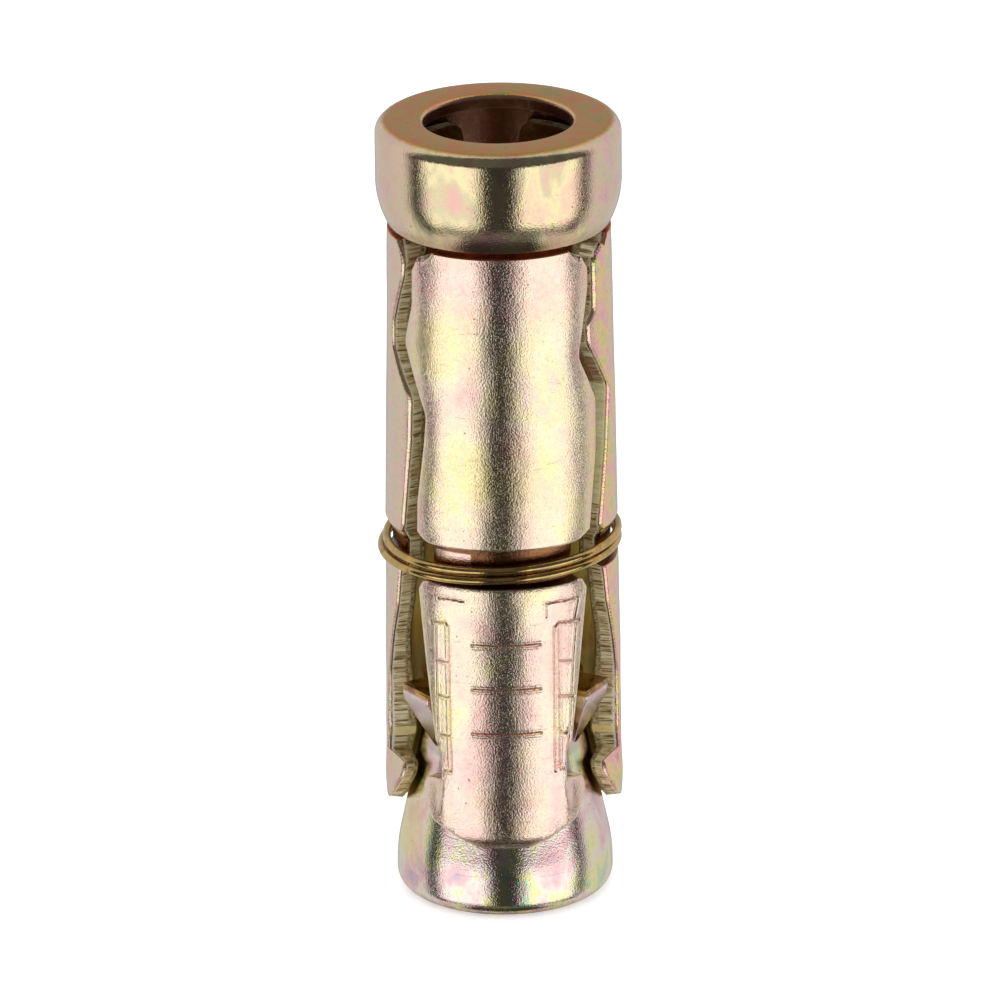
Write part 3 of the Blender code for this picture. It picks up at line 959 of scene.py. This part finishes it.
# Lines pressed into the lower part, as (points, width, depth), with points as (angle, height)
reliefSettings = {
    "strokes": [
        ([(-33.0, 19.7), (-26.7, 19.79), (-19.6, 19.73)], 0.10, 0.07),
        ([(-37.4, 18.14), (-29.0, 18.3), (-27.7, 18.1)], 0.09, 0.08),
        ([(-27.7, 18.1), (-27.5, 15.9), (-26.9, 11.1), (-26.5, 9.2)], 0.09, 0.08),
        ([(-34.3, 15.87), (-28.0, 15.9)], 0.08, 0.07),
        ([(-34.3, 13.74), (-27.6, 13.76)], 0.08, 0.07),
        ([(-33.6, 11.35), (-27.2, 11.4)], 0.08, 0.07),
        ([(-33.2, 9.15), (-26.5, 9.2)], 0.09, 0.09),
        ([(-34.5, 18.2), (-34.4, 13.7), (-33.4, 9.2)], 0.08, 0.05),
        ([(21.7, 19.55), (39.5, 19.48)], 0.10, 0.08),
        ([(21.7, 19.5), (21.7, 18.7)], 0.08, 0.04),
        ([(40.0, 19.4), (37.6, 18.3)], 0.11, 0.08),
        ([(40.6, 18.08), (28.0, 18.25), (25.8, 18.0), (25.6, 13.5), (25.6, 9.2)], 0.11, 0.09),
        ([(28.4, 15.9), (36.7, 15.7)], 0.08, 0.07),
        ([(28.0, 13.76), (37.7, 13.48)], 0.11, 0.11),
        ([(28.0, 11.75), (28.8, 11.5), (32.0, 11.4), (33.0, 11.6)], 0.12, 0.12),
        ([(28.0, 9.45), (29.0, 9.25), (31.5, 9.2)], 0.11, 0.10),
        ([(28.3, 18.1), (28.0, 9.4)], 0.08, 0.05),
        ([(38.5, 17.9), (36.5, 15.7), (34.5, 12.0), (31.6, 9.2)], 0.09, 0.06),
    ],
    "barHeights": (17.1, 14.4, 11.7),
    "barSpan": (-15.0, 18.0),
    "barWidth": 0.1,
    "barDepth": 0.12,
    "lip": 0.25,
    "reach": 0.4,
    "top": 20.4,
    "cuts": ((0.45, 3), (0.16, 2)),  # the skin near a line is cut finer, as (reach, cuts)
}
degree = radians(shellSettings["flatRadius"])  # length of one degree on the flat pattern


def wayTo(point, start, end):
    # distance from a point to a line's stretch, all on the flat pattern
    along = end - start
    share = max(0.0, min(1.0, (point - start).dot(along) / along.length_squared))
    return (point - start - along * share).length


def makeStrokes():
    s = reliefSettings
    bars = [([(angle, z) for angle in s["barSpan"]], s["barWidth"], s["barDepth"]) for z in s["barHeights"]]
    made = []
    for points, width, deep in s["strokes"] + bars:
        line = [Vector((angle * degree, z)) for angle, z in points]
        made += [(start, end, width, deep) for start, end in zip(line, line[1:])]
    return made


def closeStrokes(x, z, reach, strokes):
    # the strokes whose box, grown by the reach, holds the place
    for start, end, width, deep in strokes:
        if min(start.x, end.x) - reach < x < max(start.x, end.x) + reach:
            if min(start.y, end.y) - reach < z < max(start.y, end.y) + reach:
                yield start, end, width, deep


def nearStroke(place, reach, strokes):
    point = Vector((place.x, place.z))
    close = closeStrokes(place.x, place.z, reach, strokes)
    return any(wayTo(point, start, end) < reach for start, end, _, _ in close)


def relief(x, z, strokes):
    # how far the outer surface stands in or out round the pressed strokes
    cut, lip = 0.0, 0.0
    for start, end, width, deep in closeStrokes(x, z, reliefSettings["reach"], strokes):
        away = wayTo(Vector((x, z)), start, end) / width
        cut = max(cut, deep * max(0.0, 1 - away * away) ** 2)
        lip = max(lip, deep * reliefSettings["lip"] * max(0.0, 1 - abs(away - 1.5) / 1.2))
    return lip - cut if cut < 0.01 else -cut


def dents(x, z, seed):
    # slow unevenness of a pressed sheet
    broad = noise.noise(Vector((x * 0.45, z * 0.28, seed))) * 0.035
    return broad + noise.noise(Vector((x * 1.3, z * 0.9, seed))) * 0.008


def earBend(angle, z):
    # the ears are pressed in towards the nut's cone
    s = shellSettings
    if z > s["earHigh"] + 0.3:
        return 0.0
    out = abs(angle) - s["earRoot"]
    share = max(0.0, min(1.0, out / (s["earBent"] - s["earRoot"])))
    whole = max(0.0, out / (s["earTip"] - s["earRoot"]))
    up = max(0.0, min(1.0, (z - s["earLow"]) / (s["earHigh"] - s["earLow"])))
    return s["earBend"] * (s["earCurl"] * share * share * (3 - 2 * share) + s["earFold"] * whole) * up


def rollover(away):
    # shearing drags the skin down a little towards a cut edge
    s = shellSettings
    return s["rollover"] * max(0.0, 1 - away / s["rolloverReach"]) ** 2


def flatShell(edges, strokes):
    # the flat pattern as a plate: x is the way round, y the depth into the wall, z the height
    s = shellSettings
    pattern = [(turn * degree, z, size) for turn, z, size in shellPattern(edges)]
    outline = rounded(pattern, 6)
    bm = bmesh.new()
    face = bm.faces.new([bm.verts.new((p.x, s["edgeRound"], p.y)) for p in outline])
    turns = [pi / 2 * step / s["edgeSteps"] for step in range(s["edgeSteps"] + 1)]
    for before, after in zip(turns, turns[1:]):
        inward = s["edgeRound"] * (1 - cos(after)) - s["edgeRound"] * (1 - cos(before))
        bmesh.ops.inset_region(bm, faces=[face], thickness=inward, use_even_offset=True, use_boundary=True)
        for vert in face.verts:
            vert.co.y = s["edgeRound"] * (1 - sin(after))
    rim = [e for e in bm.edges if e.is_boundary]
    for depth in (*s["wallRows"], s["wall"]):
        made = bmesh.ops.extrude_edge_only(bm, edges=rim)["geom"]
        rim = [e for e in made if isinstance(e, bmesh.types.BMEdge) and e.is_boundary]
        for vert in {v for e in rim for v in e.verts}:
            vert.co.y = depth
    bmesh.ops.edgeloop_fill(bm, edges=rim)
    outside = shellOutside(edges)
    heights = {z for z, _ in outside + shellInner()}
    cutFlat(bm, [x * s["coarseAngle"] * degree for x in range(-13, 14)], sorted(heights), 2 * s["wall"])
    rows = [5.0 + s["fineRow"] * row for row in range(98)]
    cutFlat(bm, [x * s["fineAngle"] * degree for x in range(-54, 55)], rows, s["skin"])
    for reach, cuts in reliefSettings["cuts"]:
        skin = [f for f in bm.faces if f.verts[0].co.y < s["skin"]]
        near = [f for f in skin if nearStroke(f.calc_center_median(), reach, strokes)]
        nearEdges = list({e for f in near for e in f.edges})
        bmesh.ops.subdivide_edges(bm, edges=nearEdges, cuts=cuts, use_grid_fill=True)
    print("flat shell has", len(bm.faces), "faces")
    return bm, edgeTree(outline), outside


def edgeTree(outline):
    # finds how far a place on the pattern is from the nearest cut edge
    marks = []
    for start, end in zip(outline, outline[1:] + outline[:1]):
        count = max(1, round((end - start).length / 0.1))
        marks += [start.lerp(end, i / count) for i in range(count)]
    tree = kdtree.KDTree(len(marks))
    for i, mark in enumerate(marks):
        tree.insert((mark.x, 0.0, mark.y), i)
    tree.balance()
    return tree


def cutFlat(bm, columns, rows, deepest):
    # cuts every face that isn't deeper than that along lines across and up
    cuts = [((x, 0, 0), (1, 0, 0)) for x in columns] + [((0, 0, z), (0, 0, 1)) for z in rows]
    for place, normal in cuts:
        faces = [f for f in bm.faces if max(v.co.y for v in f.verts) < deepest]
        edges = {e for f in faces for e in f.edges}
        verts = {v for f in faces for v in f.verts}
        geom = faces + list(edges) + list(verts)
        bmesh.ops.bisect_plane(bm, geom=geom, dist=1e-5, plane_co=place, plane_no=normal)


def curlShell(plate, node, seed, strokes):
    s = shellSettings
    flat, tree, outside = plate
    bm = flat.copy()
    layer = bm.verts.layers.float.new("depth")
    inner = shellInner()
    skinEnd, backStart = s["edgeRound"] + 0.01, s["wall"] - 0.04
    for face in bm.faces:
        depth = sum(v.co.y for v in face.verts) / len(face.verts)
        face.material_index = 0 if depth < skinEnd else 1 if depth < backStart else 2
        # skin under the cap takes the inside material, with its painted shade and the ledge's painted light
        hidden = s["shoulder"] - 0.05 < face.calc_center_median().z < s["headTop"]
        if hidden and depth < skinEnd:
            face.material_index = 2
    for vert in bm.verts:
        share = vert.co.y / s["wall"]
        vert[layer] = share
        x, z = vert.co.x, vert.co.z
        outer = radiusAt(z, outside) - earBend(x / degree, z)
        if z < s["shoulder"] - s["neckDrop"]:
            fade = min(1.0, (s["shoulder"] - s["neckDrop"] - z) / 0.8)
            outer += dents(x, z, seed) - rollover(tree.find((x, 0.0, z))[2]) * fade
            if share < 0.01 and z < reliefSettings["top"]:
                outer += relief(x, z, strokes)
        radius = outer * (1 - share) + radiusAt(z, inner) * share
        vert.co = outward(s["angles"][node] + x / degree) * radius + Vector((0, 0, z))
    mats = [shellSkin, shearedEdge, shellInside]
    finishPiece(node.replace("segment_", "shell_"), bm, mats, s["bodies"][node], node)


pressed = makeStrokes()
frontPlate, sidePlate = flatShell(frontEdges, pressed), flatShell(sideEdges, [])
for number, node in enumerate(shellSettings["angles"]):
    plate, strokes = (frontPlate, pressed) if node == "segment_front" else (sidePlate, [])
    curlShell(plate, node, number * shellSettings["seedStep"], strokes)
frontPlate[0].free()
sidePlate[0].free()
print("shells made")

# Clip: two turns of round wire in the shells' groove, one outside the other on the left

clipSettings = {
    "wire": 0.48,
    "turns": 1.97,
    "pitch": 0.56,
    "radius": 6.7,
    "offset": -0.06,
    "nest": 0.14,
    "middle": 21.5,
    "tilt": 3.1,
    "start": 130.0,
    "steps": 160,
}


def makeClip():
    s = clipSettings
    curve = bpy.data.curves.new("clip path", "CURVE")
    curve.dimensions = "3D"
    curve.bevel_depth = s["wire"] / 2
    curve.bevel_resolution = 6
    curve.use_fill_caps = True
    spline = curve.splines.new("POLY")
    count = round(s["turns"] * s["steps"])
    spline.points.add(count)
    for i, point in enumerate(spline.points):
        turn = s["turns"] * (i / count - 0.5)
        way = outward(s["start"] + 360 * turn)
        nested = s["nest"] * max(-1.0, min(1.0, turn * 4)) * max(0.0, -way.x) ** 3
        place = way * (s["radius"] + nested)
        z = s["middle"] - s["pitch"] * turn + place.x * tan(radians(s["tilt"]))
        point.co = (place.x + s["offset"], place.y, z, 1.0)
    path = bpy.data.objects.new("clip path", curve)
    bpy.context.scene.collection.objects.link(path)
    bm = bmesh.new()
    bm.from_mesh(path.to_mesh())
    bpy.data.objects.remove(path)
    finishPiece("clip", bm, [clipSkin], "cap", "spring_clip")


makeClip()
print("clip made")

makeNut()
print("nut made")
